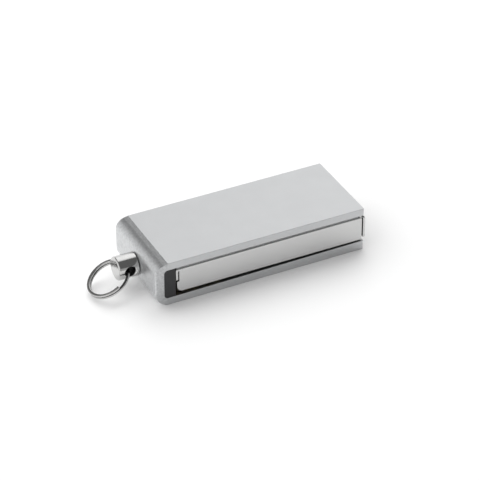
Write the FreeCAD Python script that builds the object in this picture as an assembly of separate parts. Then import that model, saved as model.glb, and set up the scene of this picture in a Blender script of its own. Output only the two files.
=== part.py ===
import FreeCAD, Part
import math
import os
from FreeCAD import Rotation, Vector

# A pocket flash drive.  A U-shaped aluminium cover holds a stamped steel tray, which swings out
# of the open end about an upright pin.  A turned post at the closed end carries a split ring.
#
# Frame: X runs from the closed end to the open end, Y across, Z up.  The origin is the middle
# of the cover's flat underside.  Sizes are in millimetres and angles in degrees.

# ---- Cover ----
cover_length = 30.4
cover_width = 12.4
cover_height = 6.4
upper_arm = 1.03
lower_arm_closed_end = 1.06
lower_arm_open_end = 1.36
end_wall = 1.24
crown_run = 1.85             # from the end face to the crease across the top face
crown_slope = 12.0
crown_radius = 1.55
heel_radius = 2.1
slot_corner_radius = 0.5
arm_tip_radius = 0.35        # seen from above, at the open end
end_edge_radius = 0.15       # seen from above, at the closed end
upper_lip_radius = 0.22      # across the thickness of each arm, at the open end
lower_lip_radius = 0.1
side_edge_break = 0.02

# ---- Tray: sheet steel, base on top, flanges down ----
tray_width = 12.0
tray_sheet = 0.3
tray_tip_x = -12.21
tray_tail_x = 15.42
tray_top = 5.1
tray_bottom = 1.5
tray_bend = 0.45             # outside radius
tip_flange_bottom = 3.31
tail_flange_bottom = 1.8
tip_relief_width = 0.17
tip_relief_top = 4.62
tail_relief_width = 0.19
tail_relief_top = 5.12       # this slit curves inwards round the side flange's upper corner
tail_relief_run = 0.5
tail_corner_radius = 0.33
cheek_set_back = 0.15        # the side flange's lower corner stands behind the tip flange
cheek_radius = 0.8
cheek_top = 3.05
cheek_top_radius = 0.2
nose_depth = 1.2             # how much of the flange the cheek's outline takes in

# ---- Pivot ----
pivot_x = 10.98
pin_radius = 0.9
pin_head_radius = 1.8
pin_head_height = 0.5
pin_head_recess = 0.02
pin_head_chamfer = 0.1
pin_blind_depth = 0.65
pin_head_gap = 0.05
spot_face_radius = 2.4
spot_face_z = 1.25
bush_radius = 1.4
bush_collar = 0.35
bush_collar_height = 0.25
bush_proud = 0.02            # how far the bush stands out of the tray's base
running_gap = 0.04
washer_radius = 2.2
washer_thickness = 0.19
swing_gap = 0.18

# ---- Black mouldings ----
block_inset = 0.04           # from the cover's sides
block_overrun = 0.2          # past where the hollow meets the sides
tail_block_clearance = 0.08  # all round, inside the tray's flanges
tail_block_floor = 0.12      # above the flanges' lower edge
tail_pad_setback = 0.4
tail_pad_height = 0.16
tail_corner = 0.3
catch_reach = 0.9            # the lip under the module's back edge
catch_root = 0.6
catch_half_width = 2.2
catch_thickness = 0.8

# ---- Memory module ----
module_length = 20.0
module_width = 11.3
module_gap = 0.09            # from the tip flange's inner face, and from the tail block
module_bevel = 0.5
pad_thickness = 0.04
pad_corner = 0.2
substrate_thickness = 0.36
mould_height = 1.0
mould_margin = 0.08
mould_chamfer = 0.12
bond_thickness = 0.1
bond_setback = 0.8
bond_half_width = 5.05
bond_corner = 0.5
contact_width = 1.5
contact_offsets = {"contact_vbus": 3.5, "contact_d_minus": 1.0,
                   "contact_d_plus": -1.0, "contact_gnd": -3.5}
power_contact = (0.9, 8.0)   # set-back from the module's front edge, length
data_contact = (1.9, 7.0)
die_paste = 0.02
memory_die = (10.4, 7.6, 0.15)
memory_at = (7.4, 0.6)       # from the module's front edge, and across
memory_stagger = 0.6
controller = (3.4, 3.0, 0.2)
controller_at = (15.6, 1.4)
passive_row_x = 14.0
passive_pitch = 1.2
capacitor = (0.6, 1.0, 0.5)
capacitor_count = 5
capacitor_y = -2.6
resistor = (0.5, 1.0, 0.35)
resistor_count = 4
resistor_y = -4.4
crystal = (1.6, 2.0, 0.6)
crystal_at = (18.4, 3.6)

# ---- Key post and ring ----
post_z = 3.22
post_radius = 1.62
post_length = 2.82
post_rim = 0.2               # radius of the rounded edge at the tip
post_shoulder_chamfer = 0.08
post_gap = 0.09
shank_radius = 0.75
shank_gap = 0.05
recess_radius = 1.7
recess_depth = 0.51
post_washer_thickness = 0.15
post_washer_radius = 1.5
post_washer_gap = 0.03
flare_radius = 1.1
flare_height = 0.28
flare_chamfer = 0.1
ring_hole_radius = 0.72
ring_hole_rim = 0.2
ring_hole_from_end = 1.58
ring_outer_radius = 3.05
wire_radial = 0.44
wire_axial = 0.365
wire_corner = 0.165
turn_gap = 0.02
ring_reach = 2.854           # from the cross hole's axis to the ring's centre, along the ring
ring_lift = 0.188            # the ring's middle plane above that axis, so one turn is in the hole
ring_droop = 30.0
upper_turn = (52.0, 278.0)   # angles round the ring, 0 at the cross hole
lower_turn = (58.0, 382.0)
crossover_steps = 8

# ---- Worked out from the sizes above ----
closed_x = -cover_length / 2
open_x = cover_length / 2
slot_end_x = closed_x + end_wall
slot_ceiling = cover_height - upper_arm
side_y = cover_width / 2
tray_side_y = tray_width / 2
tray_ceiling = tray_top - tray_sheet
tray_tip_inner = tray_tip_x + tray_sheet
tray_tail_inner = tray_tail_x - tray_sheet
tip_swing_radius = math.hypot(pivot_x - tray_tip_x, tray_side_y)
module_front = tray_tip_inner + module_gap
module_back = module_front + module_length
mould_top = tray_ceiling - bond_thickness
substrate_top = mould_top - mould_height
substrate_bottom = substrate_top - substrate_thickness
pad_bottom = substrate_bottom - pad_thickness
hole_x = closed_x - post_gap - post_length + ring_hole_from_end


def box(x, y, z):
    """A block, each argument a (low, high) pair."""
    return Part.makeBox(x[1] - x[0], y[1] - y[0], z[1] - z[0], Vector(x[0], y[0], z[0]))


def upright(radius, z, x=pivot_x, y=0.0):
    """A cylinder standing between two heights."""
    return Part.makeCylinder(radius, z[1] - z[0], Vector(x, y, z[0]))


def lengthwise(radius, x, y=0.0, z=post_z):
    """A cylinder lying along X between two stations."""
    return Part.makeCylinder(radius, x[1] - x[0], Vector(x[0], y, z), Vector(1, 0, 0))


def on_side(y):
    return lambda p: Vector(p.x, y, p.y)


def on_plan(z):
    return lambda p: Vector(p.x, p.y, z)


def rounded_face(corners, place):
    """A flat face through (u, v, radius) corners, each rounded by its own radius."""
    points = [Vector(u, v, 0) for u, v, _ in corners]
    bends = []
    for index, here in enumerate(points):
        radius = corners[index][2]
        back = (points[index - 1] - here).normalize()
        ahead = (points[(index + 1) % len(points)] - here).normalize()
        half_angle = back.getAngle(ahead) / 2
        inward = (back + ahead).normalize()
        reach = radius / math.tan(half_angle)
        middle = here + inward * (radius / math.sin(half_angle) - radius)
        bends.append((here + back * reach, middle, here + ahead * reach))
    edges = []
    for index, (start, middle, end) in enumerate(bends):
        if corners[index][2] > 0:
            edges.append(Part.Arc(place(start), place(middle), place(end)).toShape())
        following = bends[(index + 1) % len(bends)][0]
        if (following - end).Length > 1e-6:
            edges.append(Part.LineSegment(place(end), place(following)).toShape())
    return Part.Face(Part.Wire(edges))


def rounded_block(x, y, z, radius):
    """A block with its four upright edges rounded."""
    corners = [(x[0], y[0], radius), (x[1], y[0], radius), (x[1], y[1], radius), (x[0], y[1], radius)]
    return rounded_face(corners, on_plan(z[0])).extrude(Vector(0, 0, z[1] - z[0]))


def turned(profile, z=post_z):
    """A solid of revolution about a lengthwise axis, from (x, radius) points."""
    points = [Vector(x, 0, z + radius) for x, radius in profile]
    face = Part.Face(Part.makePolygon(points + points[:1]))
    return face.revolve(Vector(0, 0, z), Vector(1, 0, 0), 360)


def arm_floor(x):
    """Height of the lower arm's inner face, which rises a little towards the open end."""
    share = (x - slot_end_x) / (open_x - slot_end_x)
    return lower_arm_closed_end + share * (lower_arm_open_end - lower_arm_closed_end)


def cover_shell():
    crown_drop = crown_run * math.tan(math.radians(crown_slope))
    corners = [
        (closed_x, 0, heel_radius),
        (open_x, 0, lower_lip_radius),
        (open_x, lower_arm_open_end, lower_lip_radius),
        (slot_end_x, lower_arm_closed_end, slot_corner_radius),
        (slot_end_x, slot_ceiling, slot_corner_radius),
        (open_x, slot_ceiling, upper_lip_radius),
        (open_x, cover_height, upper_lip_radius),
        (closed_x + crown_run, cover_height, 0),
        (closed_x, cover_height - crown_drop, crown_radius),
    ]
    side = rounded_face(corners, on_side(-side_y))
    body = side.extrude(Vector(0, cover_width, 0))
    edges = [edge for face in body.Faces if abs(abs(face.CenterOfMass.y) - side_y) < 1e-6
             for edge in face.Edges]
    body = body.makeChamfer(side_edge_break, edges)
    plan = [
        (closed_x, -side_y, end_edge_radius),
        (open_x, -side_y, arm_tip_radius),
        (open_x, side_y, arm_tip_radius),
        (closed_x, side_y, end_edge_radius),
    ]
    body = body.common(rounded_face(plan, on_plan(0)).extrude(Vector(0, 0, cover_height)))
    pin_holes = [
        upright(pin_radius, (0, slot_ceiling + pin_blind_depth)),
        upright(pin_head_radius + pin_head_gap, (0, pin_head_recess + pin_head_height)),
        upright(spot_face_radius, (spot_face_z, slot_ceiling)),
    ]
    post_holes = [
        lengthwise(shank_radius + shank_gap, (closed_x - 1, slot_end_x)),
        lengthwise(recess_radius, (slot_end_x - recess_depth, slot_end_x + 0.1)),
    ]
    return body.cut(pin_holes + post_holes)


def end_block():
    """Moulded filler at the closed end, hollowed so that the tray's tip can swing past."""
    hollow_radius = tip_swing_radius + swing_gap
    front = pivot_x - math.sqrt(hollow_radius ** 2 - side_y ** 2) + block_overrun
    corners = [
        (slot_end_x, arm_floor(slot_end_x), slot_corner_radius),
        (front, arm_floor(front), 0),
        (front, slot_ceiling, 0),
        (slot_end_x, slot_ceiling, slot_corner_radius),
    ]
    side = rounded_face(corners, on_side(block_inset - side_y))
    block = side.extrude(Vector(0, cover_width - 2 * block_inset, 0))
    return block.cut(upright(hollow_radius, (0, cover_height)))


def pivot_pin():
    """Headed pin, flush under the lower arm and blind in the upper one."""
    head = upright(pin_head_radius, (pin_head_recess, pin_head_recess + pin_head_height))
    rim = [edge for edge in head.Edges if abs(edge.CenterOfMass.z - pin_head_recess) < 1e-6]
    head = head.makeChamfer(pin_head_chamfer, rim)
    shaft = upright(pin_radius, (pin_head_recess, slot_ceiling + pin_blind_depth))
    return head.fuse(shaft).removeSplitter()


def pivot_washer(bottom):
    z = (bottom, bottom + washer_thickness)
    return upright(washer_radius, z).cut(upright(pin_radius + running_gap, z))


def pivot_bush():
    """Brass sleeve pressed through the tray's base and tail block."""
    z = (tray_bottom + bush_proud, tray_top + bush_proud)
    sleeve = upright(bush_radius, z)
    collar = upright(bush_radius + bush_collar, (z[0], z[0] + bush_collar_height))
    bore = upright(pin_radius + running_gap, z)
    return sleeve.fuse(collar).removeSplitter().cut(bore)


def chip_tray():
    outside = box((tray_tip_x, tray_tail_x), (-tray_side_y, tray_side_y), (tray_bottom, tray_top))
    rim = [edge for edge in outside.Edges if abs(edge.CenterOfMass.z - tray_top) < 1e-6]
    outside = outside.makeFillet(tray_bend, rim)
    inner_y = tray_side_y - tray_sheet
    inside = box((tray_tip_inner, tray_tail_inner), (-inner_y, inner_y), (tray_bottom, tray_ceiling))
    rim = [edge for edge in inside.Edges if abs(edge.CenterOfMass.z - tray_ceiling) < 1e-6]
    inside = inside.makeFillet(tray_bend - tray_sheet, rim)
    tray = outside.cut(inside)

    across = (-tray_side_y - 0.1, tray_side_y + 0.1)
    between_flanges = (-inner_y, inner_y)
    cheek_x = tray_tip_x + cheek_set_back
    slit_tip = (tray_tip_inner, tray_tip_inner + tip_relief_width)
    slit_tail = (tray_tail_inner - tail_relief_width, tray_tail_inner)
    slit_end = slit_tail[0] - tail_relief_run
    tail_slit = [
        (slit_tail[0], tray_bottom - 0.1, 0),
        (slit_tail[1], tray_bottom - 0.1, 0),
        (slit_tail[1], tail_relief_top, tail_corner_radius + tail_relief_width),
        (slit_end, tail_relief_top, 0),
        (slit_end, tail_relief_top - tail_relief_width, 0),
        (slit_tail[0], tail_relief_top - tail_relief_width, tail_corner_radius),
    ]
    cuts = [
        box((tray_tip_x - 0.1, tray_tip_inner), between_flanges, (tray_bottom, tip_flange_bottom)),
        box((tray_tip_x - 0.1, cheek_x), across, (tray_bottom, tip_flange_bottom)),
        box((tray_tip_x - 0.1, slit_tip[1]), across, (cheek_top, tip_flange_bottom)),
        box((slit_tail[0], tray_tail_x + 0.1), across, (tray_bottom, tail_flange_bottom)),
        upright(bush_radius, (tray_bottom, tray_top)),
    ]
    for sign in (-1, 1):
        flange = sorted((sign * (inner_y - 0.001), sign * (tray_side_y + 0.1)))
        cuts.append(box(slit_tip, flange, (cheek_top, tip_relief_top)))
        slit = rounded_face(tail_slit, on_side(flange[0]))
        cuts.append(slit.extrude(Vector(0, flange[1] - flange[0], 0)))
    tray = tray.cut(cuts)

    # The side flanges' nose is rounded: the square nose is taken off and a rounded one put back.
    square_nose = box((cheek_x - 0.1, cheek_x + nose_depth), across, (tray_bottom - 0.1, cheek_top))
    corners = [
        (cheek_x, tray_bottom, cheek_radius),
        (cheek_x + nose_depth, tray_bottom, 0),
        (cheek_x + nose_depth, cheek_top, 0),
        (cheek_x, cheek_top, cheek_top_radius),
    ]
    nose = rounded_face(corners, on_side(across[0])).extrude(Vector(0, across[1] - across[0], 0))
    return tray.cut(square_nose.cut(nose)).removeSplitter()


def tail_block():
    """Moulded block in the tray's tail: carries the bush and traps the module's back edge."""
    floor = tray_bottom + tail_block_floor
    front = module_back + module_gap
    back = tray_tail_inner - tail_block_clearance
    y = tray_side_y - tray_sheet - tail_block_clearance
    shoulder = tray_ceiling - tail_pad_height
    body = rounded_block((front, back), (-y, y), (floor, shoulder), tail_corner)
    y -= tail_pad_setback
    x = (front + tail_pad_setback, back - tail_pad_setback)
    pad = rounded_block(x, (-y, y), (floor, tray_ceiling), tail_corner)
    catch = box((module_back - catch_reach, module_back + catch_root),
                (-catch_half_width, catch_half_width), (pad_bottom - catch_thickness, pad_bottom))
    cuts = [
        upright(bush_radius, (floor, tray_ceiling)),
        upright(bush_radius + bush_collar, (0, tray_bottom + bush_proud + bush_collar_height)),
    ]
    return body.fuse([pad, catch]).removeSplitter().cut(cuts)


def module_outline(z, margin=0.0):
    """The module seen from above, with its two front corners cut off."""
    front, back = module_front + margin, module_back - margin
    y = module_width / 2 - margin
    bevel = module_bevel
    points = [(front + bevel, -y), (back, -y), (back, y), (front + bevel, y), (front, y - bevel),
              (front, bevel - y)]
    loop = [Vector(x, side, z[0]) for x, side in points]
    return Part.Face(Part.makePolygon(loop + loop[:1])).extrude(Vector(0, 0, z[1] - z[0]))


def contact(name):
    setback, length = power_contact if name in ("contact_vbus", "contact_gnd") else data_contact
    middle = contact_offsets[name]
    x = (module_front + setback, module_front + setback + length)
    y = (middle - contact_width / 2, middle + contact_width / 2)
    return rounded_block(x, y, (pad_bottom, substrate_bottom), pad_corner)


def chip(x, y, bottom, size):
    """A small block, placed by its middle and its underside, from (length, width, height)."""
    length, width, height = size
    return box((x - length / 2, x + length / 2), (y - width / 2, y + width / 2), (bottom, bottom + height))


def dies():
    base = substrate_top + die_paste
    step = memory_die[2] + die_paste
    x = module_front + memory_at[0]
    return {
        "memory_die_lower": chip(x, memory_at[1], base, memory_die),
        "memory_die_upper": chip(x + memory_stagger, memory_at[1], base + step, memory_die),
        "controller_die": chip(module_front + controller_at[0], controller_at[1], base, controller),
    }


def passives():
    """Small parts soldered beside the dies, each kind a group in one node."""
    x = module_front + passive_row_x
    capacitors = [chip(x + passive_pitch * place, capacitor_y, substrate_top, capacitor)
                  for place in range(capacitor_count)]
    resistors = [chip(x + passive_pitch * place, resistor_y, substrate_top, resistor)
                 for place in range(resistor_count)]
    crystal_x, crystal_y = module_front + crystal_at[0], crystal_at[1]
    return {
        "capacitors": Part.makeCompound(capacitors),
        "resistors": Part.makeCompound(resistors),
        "crystal": chip(crystal_x, crystal_y, substrate_top, crystal),
    }


def module_mould(inserts):
    """Black moulding compound round the dies and passives, with room under each die for paste."""
    block = module_outline((substrate_top, mould_top), margin=mould_margin)
    top_rim = [edge for edge in block.Edges if abs(edge.BoundBox.ZMin - mould_top) < 1e-6]
    block = block.makeChamfer(mould_chamfer, top_rim)
    paste = []
    for name, shape in inserts.items():
        if "die" in name:
            paste.append(shape.translated(Vector(0, 0, -die_paste)))
    return block.cut(list(inserts.values()) + paste)


def bonding_pad():
    x = (module_front + bond_setback, module_back - bond_setback)
    y = (-bond_half_width, bond_half_width)
    return rounded_block(x, y, (mould_top, tray_ceiling), bond_corner)


def key_post():
    """Turned post with a cross hole, held by its shank's flared end inside the end wall."""
    shoulder = closed_x - post_gap
    tip = shoulder - post_length
    seat = slot_end_x - recess_depth + post_washer_gap + post_washer_thickness
    end = seat + flare_height
    body = turned([
        (tip, 0), (tip, post_radius), (shoulder - post_shoulder_chamfer, post_radius),
        (shoulder, post_radius - post_shoulder_chamfer), (shoulder, shank_radius),
        (seat, shank_radius), (seat, flare_radius - flare_chamfer),
        (seat + flare_chamfer, flare_radius), (end, flare_radius - flare_chamfer), (end, 0),
    ])
    rim = [edge for edge in body.Edges if edge.BoundBox.XMax < tip + 1e-6]
    body = body.makeFillet(post_rim, rim)
    across = Vector(hole_x, -2 * post_radius, post_z)
    cuts = [Part.makeCylinder(ring_hole_radius, 4 * post_radius, across, Vector(0, 1, 0))]
    for sign in (-1, 1):
        start = Vector(hole_x, sign * (post_radius - ring_hole_rim), post_z)
        cuts.append(Part.makeCone(ring_hole_radius, ring_hole_radius + ring_hole_rim, ring_hole_rim,
                                  start, Vector(0, sign, 0)))
    return body.cut(cuts)


def post_washer():
    start = slot_end_x - recess_depth + post_washer_gap
    x = (start, start + post_washer_thickness)
    return lengthwise(post_washer_radius, x).cut(lengthwise(shank_radius, x))


def wire_section(angle, height):
    """The wire's rounded section, standing in a radial plane of the ring."""
    inner, outer = ring_outer_radius - wire_radial, ring_outer_radius
    low, high = height - wire_axial / 2, height + wire_axial / 2
    corners = [(inner, low, wire_corner), (outer, low, wire_corner),
               (outer, high, wire_corner), (inner, high, wire_corner)]
    turn = math.radians(angle)
    outward = Vector(math.cos(turn), math.sin(turn), 0)
    return rounded_face(corners, lambda p: outward * p.x + Vector(0, 0, p.y))


def split_ring():
    """Two turns of flattened wire, joined by a crossover that passes through the post."""
    half_pitch = (wire_axial + turn_gap) / 2
    axis = Vector(0, 0, 1)
    upper = wire_section(upper_turn[0], half_pitch)
    upper = upper.revolve(Vector(0, 0, 0), axis, upper_turn[1] - upper_turn[0])
    lower = wire_section(lower_turn[0], -half_pitch)
    lower = lower.revolve(Vector(0, 0, 0), axis, lower_turn[1] - lower_turn[0])

    start, end = lower_turn[1] - 360, upper_turn[0]
    sections = []
    for step in range(crossover_steps + 1):
        share = step / crossover_steps
        rise = half_pitch * (6 * share ** 2 - 4 * share ** 3 - 1)
        sections.append(wire_section(start + share * (end - start), rise).OuterWire)
    crossover = Part.makeLoft(sections, True)

    ring = upper.fuse([lower, crossover])
    towards_hole = Rotation(Vector(0, 1, 0), -ring_droop)
    centre = Vector(hole_x, 0, post_z) - towards_hole.multVec(Vector(ring_reach, 0, -ring_lift))
    ring.Placement = FreeCAD.Placement(centre, towards_hole)
    return ring


def all_parts():
    inserts = {**dies(), **passives()}
    parts = {
        "cover_shell": cover_shell(),
        "end_block": end_block(),
        "pivot_pin": pivot_pin(),
        "pivot_washer_upper": pivot_washer(tray_top + running_gap),
        "pivot_washer_lower": pivot_washer(spot_face_z + running_gap),
        "chip_tray": chip_tray(),
        "tail_block": tail_block(),
        "pivot_bush": pivot_bush(),
        "bonding_pad": bonding_pad(),
        "module_substrate": module_outline((substrate_bottom, substrate_top)),
        "module_mould": module_mould(inserts),
        "key_post": key_post(),
        "post_washer": post_washer(),
        "split_ring": split_ring(),
    }
    for name in contact_offsets:
        parts[name] = contact(name)
    parts.update(inserts)
    return parts


os.makedirs("parts", exist_ok=True)
for name, shape in all_parts().items():
    if not shape.isValid():
        raise ValueError(name + " is not a valid solid")
    shape.exportStep("parts/" + name + ".step")
    bounds = shape.BoundBox
    print(f"{name:20s} solids {len(shape.Solids)}  volume {shape.Volume:9.4f}  "
          f"x {bounds.XMin:7.2f} {bounds.XMax:7.2f}  y {bounds.YMin:6.2f} {bounds.YMax:6.2f}  "
          f"z {bounds.ZMin:5.2f} {bounds.ZMax:5.2f}")
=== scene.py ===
# %% [markdown]
# # A swivel flash drive
# The object is a little storage stick for a key ring. A U-shaped aluminium cover holds a steel
# tray, which swings out about a pin, and a turned post at the closed end carries a split ring.
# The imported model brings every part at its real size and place, and its shapes are already
# fine enough to show. This lesson dresses them: it sets up a camera and a light that suit bare
# metal, and gives each part the finish of the process that made it.

# %% Load the frame
import math

import bpy
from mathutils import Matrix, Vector


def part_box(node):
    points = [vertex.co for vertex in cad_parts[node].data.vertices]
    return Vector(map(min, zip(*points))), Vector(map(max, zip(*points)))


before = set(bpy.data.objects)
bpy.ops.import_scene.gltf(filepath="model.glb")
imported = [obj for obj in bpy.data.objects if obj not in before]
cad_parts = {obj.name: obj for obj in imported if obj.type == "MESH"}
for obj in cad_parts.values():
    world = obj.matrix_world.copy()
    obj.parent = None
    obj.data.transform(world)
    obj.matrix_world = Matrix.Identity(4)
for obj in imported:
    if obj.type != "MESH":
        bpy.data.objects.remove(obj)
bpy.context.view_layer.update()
MM = 0.001

# %% [markdown]
# ## Places to measure from
# Every position in the lesson comes from the parts themselves, so nothing has to be fitted by
# eye. A part's box gives its two extreme corners. The cover's box gives the middle of the
# object, and the post's cross hole is where the ring hangs.

# %% Boxes of the main parts
cover_low, cover_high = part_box("cover_shell")
tray_low, tray_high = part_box("chip_tray")
post_low, post_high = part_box("key_post")
cover_middle = (cover_low + cover_high) / 2
print("cover in mm:", [round(v / MM, 2) for v in cover_high - cover_low])
print("tray in mm:", [round(v / MM, 2) for v in tray_high - tray_low])

# %% [markdown]
# ## Camera
# A long lens from about a third of a metre keeps the edges of a small object nearly parallel,
# which is how a product of this size is usually shown. The camera is placed by two angles and
# a distance from a point just under the middle of the cover. That is easier to read, and to
# change, than a location and a rotation.


# %% Point the camera
def direction(azimuth, elevation):
    """Unit vector from the object. Azimuth 0 is towards -Y, 90 towards +X."""
    turn, rise = math.radians(azimuth), math.radians(elevation)
    return Vector((math.sin(turn) * math.cos(rise), -math.cos(turn) * math.cos(rise), math.sin(rise)))


aim = cover_middle + Vector((0.0, 0.13, -1.06)) * MM
camera_data = bpy.data.cameras.new("camera")
camera_data.lens = 187.5
camera_data.sensor_width = 36.0
camera_data.clip_start = 0.01
camera = bpy.data.objects.new("camera", camera_data)
bpy.context.scene.collection.objects.link(camera)
towards_camera = direction(-26.48, 34.34)
camera.location = aim + towards_camera * 330.34 * MM
camera.rotation_euler = towards_camera.to_track_quat("Z", "Y").to_euler()
bpy.context.scene.camera = camera
print("camera at mm:", [round(v / MM, 1) for v in camera.location])

# %% [markdown]
# ## Writing patterns as sums
# Finishes and lighting are both arithmetic on patterns: a mask is stretched, turned over and
# mixed with another. Two small classes keep that readable. `Value` wraps one socket and lets
# it stand in a sum, and `Recipe` holds one node tree and adds any node by its type.


# %% Value and Recipe
class Value:
    """A number that varies from point to point. A sum written with it adds its own Math nodes."""

    def __init__(self, recipe, socket):
        self.recipe, self.socket = recipe, socket

    def sum(self, operation, first, second):
        return self.recipe.node("ShaderNodeMath", {"operation": operation}, {0: first, 1: second})

    def __add__(self, other):
        return self.sum("ADD", self, other)

    def __radd__(self, other):
        return self.sum("ADD", other, self)

    def __sub__(self, other):
        return self.sum("SUBTRACT", self, other)

    def __rsub__(self, other):
        return self.sum("SUBTRACT", other, self)

    def __mul__(self, other):
        return self.sum("MULTIPLY", self, other)

    def __rmul__(self, other):
        return self.sum("MULTIPLY", other, self)

    def size(self):
        """The value without its sign."""
        return self.sum("ABSOLUTE", self, 0.0)

    def step(self, low, high):
        """0 up to low, 1 from high, and a smooth rise between them."""
        settings = {"interpolation_type": "SMOOTHSTEP"}
        inputs = {"Value": self, "From Min": low, "From Max": high}
        return self.recipe.node("ShaderNodeMapRange", settings, inputs)


class Recipe:
    """One node tree. Every node in it comes from node()."""

    def __init__(self, tree):
        self.tree = tree
        self.tree.nodes.clear()

    def node(self, kind, settings=None, inputs=None, output=0):
        made = self.tree.nodes.new(kind)
        for name, setting in (settings or {}).items():
            setattr(made, name, setting)
        for name, value in (inputs or {}).items():
            if isinstance(value, Value):
                self.tree.links.new(value.socket, made.inputs[name])
            else:
                made.inputs[name].default_value = value
        return Value(self, made.outputs[output]) if made.outputs else None


print("recipe helpers ready")

# %% [markdown]
# ## Floor and light
# Bare metal shows what is round it, so the room is laid out by what each face should see. The
# top face sees a large soft panel behind the object and to the right. The rounded end sees the
# dark gap beside that panel, and goes dark next to its crease. The sides see the pale floor.
# The post sees the dark ceiling between the panel and the camera, which gives it the black
# band that makes a polished rod look polished. The room is drawn on the world with soft round
# patches. One wide real lamp behind throws the soft shadow forwards. It is left out of the
# reflections, because the drawn room already has all that the metal should show.

# %% Room
scene = bpy.context.scene
scene.view_settings.view_transform = "Standard"
world = bpy.data.worlds.new("room")
scene.world = world
world.use_nodes = True
room = Recipe(world.node_tree)
ray = room.node("ShaderNodeTexCoord", output="Generated")


def facing(towards):
    """Cosine between a ray and a direction."""
    settings = {"operation": "DOT_PRODUCT"}
    return room.node("ShaderNodeVectorMath", settings, {0: ray, 1: towards}, output="Value")


def patch(azimuth, elevation, inner, outer):
    """1 in a round patch of the room, seen from the object, and 0 outside it. Angles in degrees."""
    edge, core = math.cos(math.radians(outer)), math.cos(math.radians(inner))
    return facing(direction(azimuth, elevation)).step(edge, core)


height = facing(Vector((0, 0, 1)))
behind = facing(Vector((0, 1, 0)))
backdrop = (1 - height.step(0.30, 0.46)) * behind.step(0.1, 0.4)
panel = patch(142, 38, 19, 24)
upper_panel = patch(120, 62, 9, 15) * (1 - panel)
gap = patch(178, 42, 8, 28)
ceiling = patch(40, 55, 32, 46)
left_wall = patch(-80, 18, 24, 44) * 0.55
walls = (0.50 + left_wall) * (1 - gap * 0.85) * (1 - ceiling * 0.7)
drawn_room = walls * (1 - panel) * (1 - backdrop)
light = drawn_room + panel * 1.4 + upper_panel * 0.9 + backdrop * (1 - panel) * 1.15
background = room.node("ShaderNodeBackground", None, {"Color": (1, 1, 1, 1), "Strength": light})
room.node("ShaderNodeOutputWorld", None, {"Surface": background})
print("room:", len(world.node_tree.nodes), "nodes")


# %% Lamp
def lamp(name, azimuth, elevation, distance, width, height, watts):
    """A rectangular soft light that faces the middle of the cover."""
    data = bpy.data.lights.new(name, "AREA")
    data.shape = "RECTANGLE"
    data.size, data.size_y = width, height
    data.energy = watts
    made = bpy.data.objects.new(name, data)
    out = direction(azimuth, elevation)
    made.location = cover_middle + out * distance
    made.rotation_euler = out.to_track_quat("Z", "Y").to_euler()
    made.visible_glossy = False
    scene.collection.objects.link(made)


lamp("back_lamp", 196, 58, 0.9, 1.9, 1.0, 9.6)

# %% Floor
floor_mesh = bpy.data.meshes.new("floor")
reach = 1.2
corners = [(-reach, -reach, 0), (reach, -reach, 0), (reach, reach, 0), (-reach, reach, 0)]
floor_mesh.from_pydata(corners, [], [(0, 1, 2, 3)])
floor = bpy.data.objects.new("floor", floor_mesh)
scene.collection.objects.link(floor)
print("lamps:", [made.name for made in bpy.data.lights], "floor half-width in m:", reach)

# %% [markdown]
# ## A finish
# A finish is a recipe whose tree belongs to a material. It works in millimetres on the object
# itself, so a pattern has a real size and stays on its part when the part moves.


# %% Finish
class Finish(Recipe):
    """One material, measured in millimetres."""

    def __init__(self, name):
        self.material = bpy.data.materials.new(name)
        self.material.use_nodes = True
        super().__init__(self.material.node_tree)
        where = self.node("ShaderNodeTexCoord", output="Object")
        self.place = self.node("ShaderNodeVectorMath", {"operation": "SCALE"}, {0: where, "Scale": 1 / MM})

    def axes(self):
        """The three coordinates of a place as separate values."""
        split = self.node("ShaderNodeSeparateXYZ", None, {0: self.place}).socket.node
        return [Value(self, socket) for socket in split.outputs]

    def noise(self, per_mm, detail=2.0, roughness=0.5, stretch=(1, 1, 1)):
        """Cloudy pattern from 0 to 1, with so many spots to the millimetre. stretch is per axis."""
        place = self.node("ShaderNodeVectorMath", {"operation": "MULTIPLY"}, {0: self.place, 1: stretch})
        inputs = {"Vector": place, "Scale": per_mm, "Detail": detail, "Roughness": roughness}
        return self.node("ShaderNodeTexNoise", None, inputs)

    def mix(self, mask, first, second):
        """The first colour where the mask is 0, the second where it is 1."""
        first, second = [c if isinstance(c, Value) else (*c, 1) for c in (first, second)]
        return self.node("ShaderNodeMix", {"data_type": "RGBA"}, {0: mask, 6: first, 7: second}, output=2)

    def bump(self, height, depth_mm):
        return self.node("ShaderNodeBump", None, {"Height": height, "Distance": depth_mm * MM})

    def shade(self, **inputs):
        """Ends the material with its shader. Base_Color=... sets the socket named Base Color."""
        named = {name.replace("_", " "): value for name, value in inputs.items()}
        named = {name: (*value, 1) if isinstance(value, tuple) else value for name, value in named.items()}
        shader = self.node("ShaderNodeBsdfPrincipled", None, named)
        self.node("ShaderNodeOutputMaterial", None, {"Surface": shader})
        return self.material


finishes = {}
print("finish class ready")

# %% [markdown]
# ## Floor finish
# Matt white card. It stays a little below pure white so that the shadow has room to show. A
# faint glow stands in for light from the rest of a real room, and keeps the shadow grey.

# %% White card
card = Finish("white_card")
floor_mesh.materials.append(card.shade(
    Base_Color=(0.88, 0.88, 0.88), Roughness=0.9, Emission_Color=(1.0, 1.0, 1.0), Emission_Strength=0.1))
print("floor finish:", card.material.name)
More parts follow.
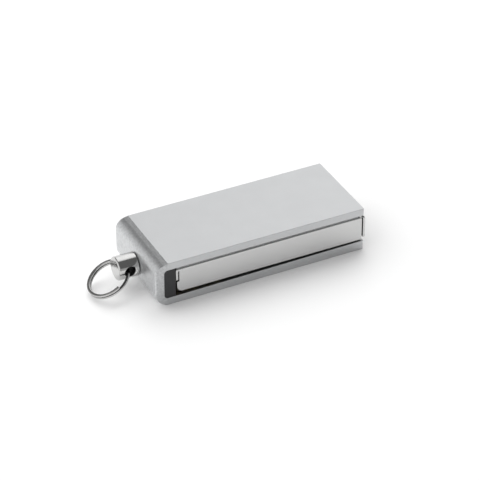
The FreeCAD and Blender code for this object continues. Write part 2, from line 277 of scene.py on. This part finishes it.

# %% [markdown]
# ## Blasted aluminium
# The cover is milled from bar, blasted with fine beads and anodised clear. Blasting leaves an
# even satin with a grain of about a tenth of a millimetre. The rounded end was shaped after
# the faces were lapped flat, so its grain is coarser and its tone is mottled. One material
# does both, with a mask along X that fades from the coarse finish to the fine one. A second
# mask paints light onto the flat of the end, which makes it paler. The finish there is no
# different: the paler tone is a painted reflection that makes up for how little of the drawn
# room that face mirrors.

# %% Cover finish
crown_run = 1.85
alu = Finish("cover_aluminium")
x = alu.axes()[0]
end_x = cover_low.x / MM
crease_x = end_x + crown_run
rounded_end = 1 - x.step(crease_x - 0.05, crease_x + 0.05)
# Painted light: this mask makes the flat of the end paler, as a painted reflection.
end_face_painted_light = 1 - x.step(end_x + 0.01, end_x + 0.25)
fine = alu.noise(11.0, 3.0, 0.6)
coarse = alu.noise(3.2, 3.0, 0.65)
cloud = alu.noise(0.35, 2.0)
mottle = (coarse - 0.5) * rounded_end
# The last term paints light onto the flat of the end.
tone = 0.5 + (fine - 0.5) * 0.15 + (cloud - 0.5) * 0.12 + mottle * 1.3 + end_face_painted_light * 0.4
colour = alu.mix(tone, (0.36, 0.366, 0.373), (0.68, 0.688, 0.695))
gloss = 0.36 + (fine - 0.5) * 0.10 + rounded_end * 0.07
grain = fine * (1 - rounded_end * 0.4) + coarse * rounded_end * 4.0
finishes["cover_aluminium"] = alu.shade(
    Base_Color=colour, Metallic=1.0, Roughness=gloss, Normal=alu.bump(grain, 0.006))
print("crease at x in mm:", round(crease_x, 2))

# %% [markdown]
# ## Stamped steel
# The tray is pressed from bright rolled strip. Rolling leaves faint lines along its length,
# so the noise is stretched along X until its spots become streaks. They are shallow: most of
# the look is a satin that carries a soft reflection of the floor.

# %% Tray finish
steel = Finish("tray_steel")
streaks = steel.noise(1.0, 3.0, 0.6, stretch=(0.12, 7.0, 7.0))
cloud = steel.noise(0.22)
tone = 0.5 + (streaks - 0.5) * 0.5 + (cloud - 0.5) * 0.5
colour = steel.mix(tone, (0.55, 0.55, 0.547), (0.63, 0.63, 0.627))
finishes["tray_steel"] = steel.shade(
    Base_Color=colour, Metallic=1.0, Roughness=0.24 + (streaks - 0.5) * 0.10 + (cloud - 0.5) * 0.06,
    Normal=steel.bump(streaks, 0.0015))
print("tray finish:", len(steel.tree.nodes), "nodes")

# %% [markdown]
# ## Moulded black
# The filler at the closed end and the block in the tray's tail are black nylon. A spark-eroded
# mould gives them a fine matt texture, and the plastic itself is not quite black.

# %% Block finish
black = Finish("block_plastic")
spark = black.noise(9.0, 3.0, 0.7)
colour = black.mix(spark, (0.012, 0.012, 0.013), (0.021, 0.021, 0.023))
finishes["block_plastic"] = black.shade(
    Base_Color=colour, Roughness=0.5 + (spark - 0.5) * 0.2, Normal=black.bump(spark, 0.006))
print("block finish:", len(black.tree.nodes), "nodes")

# %% [markdown]
# ## Bright plate
# The post and the ring are nickel plated and polished. A mirror this small still has life in
# it: hairlines from handling that turn the highlights a little soft, and a faint cloudiness.
# The inside of the cross hole and the groove between the ring's two turns get painted shade:
# both are made dark grey, and a little rougher. Each is marked out by its distance from an axis
# or plane. The ring's outer edges are darkened as well. That is drawing and not plating: it is a
# painted dark reflection that gives the thin wire a firmer outline than the drawn room does.

# %% Post and ring finish
hole_x = post_low.x / MM + 1.58
hole_z = (post_low.z + post_high.z) / 2 / MM
hole_radius = 0.72
ring_droop = math.radians(30)
ring_lift = 0.188  # the plane where the turns meet, above the hole's axis


def bright_plate(name, dull, painted_shade_at):
    """The last argument, given a plate, gives 1 where shade is painted, and 0 elsewhere."""
    plate = Finish(name)
    hairlines = plate.noise(1.2, 4.0, 0.7, stretch=(1.0, 14.0, 14.0))
    haze = plate.noise(0.9)
    # Painted shade: where this mask is 1, the plate turns dark grey and rougher.
    painted_shade = painted_shade_at(plate)
    bright = plate.mix(haze, (0.54, 0.538, 0.532), (0.62, 0.62, 0.616))
    # The dark grey (0.09) is the colour of the painted shade.
    return plate.shade(Base_Color=plate.mix(painted_shade, bright, (0.09, 0.09, 0.09)), Metallic=1.0,
                       Roughness=dull + (haze - 0.5) * 0.06 + (hairlines - 0.5) * 0.05 + painted_shade * 0.2,
                       Normal=plate.bump(hairlines, 0.0008))


def in_cross_hole(plate):
    """Painted shade: 1 on the hole's wall, fading out on the rim."""
    across, _, up = plate.axes()
    squared = (across - hole_x) * (across - hole_x) + (up - hole_z) * (up - hole_z)
    return 1 - squared.step(hole_radius ** 2, (hole_radius + 0.04) ** 2)


def between_turns(plate):
    """Painted shade: 1 near the plane where the turns meet, and part dark along the ring's two outer edges
    as a painted dark reflection.
    """
    across, _, up = plate.axes()
    above_hole = (up - hole_z) * math.cos(ring_droop) - (across - hole_x) * math.sin(ring_droop)
    from_groove = (above_hole - ring_lift).size()
    # The first term paints shade in the groove. The second paints a dark reflection along the outer edges.
    return 1 - from_groove.step(0.03, 0.09) + from_groove.step(0.30, 0.36) * 0.6


finishes["post_chrome"] = bright_plate("post_chrome", 0.12, in_cross_hole)
finishes["ring_chrome"] = bright_plate("ring_chrome", 0.08, between_turns)
print("cross hole at mm:", round(hole_x, 2), round(hole_z, 2))


# %% [markdown]
# ## Small parts
# The rest is seen only when the tray is out, or inside it: pins, washers, the brass bush, and
# the memory module with its gold contacts. Each keeps the one property that gives it away,
# such as the colour of brass, the drag marks on gold, or the speckle in moulding compound.


# %% Metals of the pivot and the module
def drawn_metal(name, dark, light, dull, per_mm=6.0, depth=0.001):
    metal = Finish(name)
    grain = metal.noise(per_mm, 3.0, 0.6)
    return metal.shade(Base_Color=metal.mix(grain, dark, light), Metallic=1.0,
                       Roughness=dull + (grain - 0.5) * 0.12, Normal=metal.bump(grain, depth))


finishes["pin_steel"] = drawn_metal("pin_steel", (0.50, 0.50, 0.50), (0.62, 0.62, 0.61), 0.26)
finishes["bush_brass"] = drawn_metal("bush_brass", (0.70, 0.50, 0.22), (0.82, 0.62, 0.30), 0.25)
finishes["contact_gold"] = drawn_metal("contact_gold", (0.86, 0.62, 0.25), (0.95, 0.74, 0.36), 0.20)
finishes["crystal_can"] = drawn_metal("crystal_can", (0.60, 0.60, 0.59), (0.70, 0.70, 0.69), 0.22)
print("metals so far:", len(finishes))


# %% Plastics, ceramics and silicon
def speckled(name, dark, light, dull, per_mm=6.0, depth=0.003):
    stuff = Finish(name)
    speckle = stuff.noise(per_mm, 4.0, 0.7)
    return stuff.shade(Base_Color=stuff.mix(speckle, dark, light), Roughness=dull + (speckle - 0.5) * 0.2,
                       Normal=stuff.bump(speckle, depth))


finishes["washer_nylon"] = speckled("washer_nylon", (0.62, 0.61, 0.57), (0.72, 0.71, 0.67), 0.45)
finishes["board_mask"] = speckled("board_mask", (0.008, 0.020, 0.014), (0.014, 0.032, 0.022), 0.35)
finishes["mould_resin"] = speckled("mould_resin", (0.018, 0.018, 0.019), (0.034, 0.034, 0.036), 0.55)
finishes["silicon"] = speckled("silicon", (0.16, 0.17, 0.20), (0.20, 0.21, 0.24), 0.15, depth=0.0005)
finishes["capacitor_ceramic"] = speckled("capacitor_ceramic", (0.34, 0.22, 0.13), (0.42, 0.29, 0.18), 0.4)
finishes["resistor_ceramic"] = speckled("resistor_ceramic", (0.02, 0.02, 0.02), (0.05, 0.05, 0.05), 0.4)
finishes["bond_film"] = speckled("bond_film", (0.55, 0.52, 0.44), (0.63, 0.60, 0.52), 0.5)
print("finishes:", len(finishes))

# %% [markdown]
# ## Dress the parts
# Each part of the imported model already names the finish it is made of, so the right material
# goes into each slot by that name.

# %% Put the finishes on
for name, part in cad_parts.items():
    for index, given in enumerate(part.data.materials):
        part.data.materials[index] = finishes[given.name.split(".")[0]]
print("dressed:", len(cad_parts))
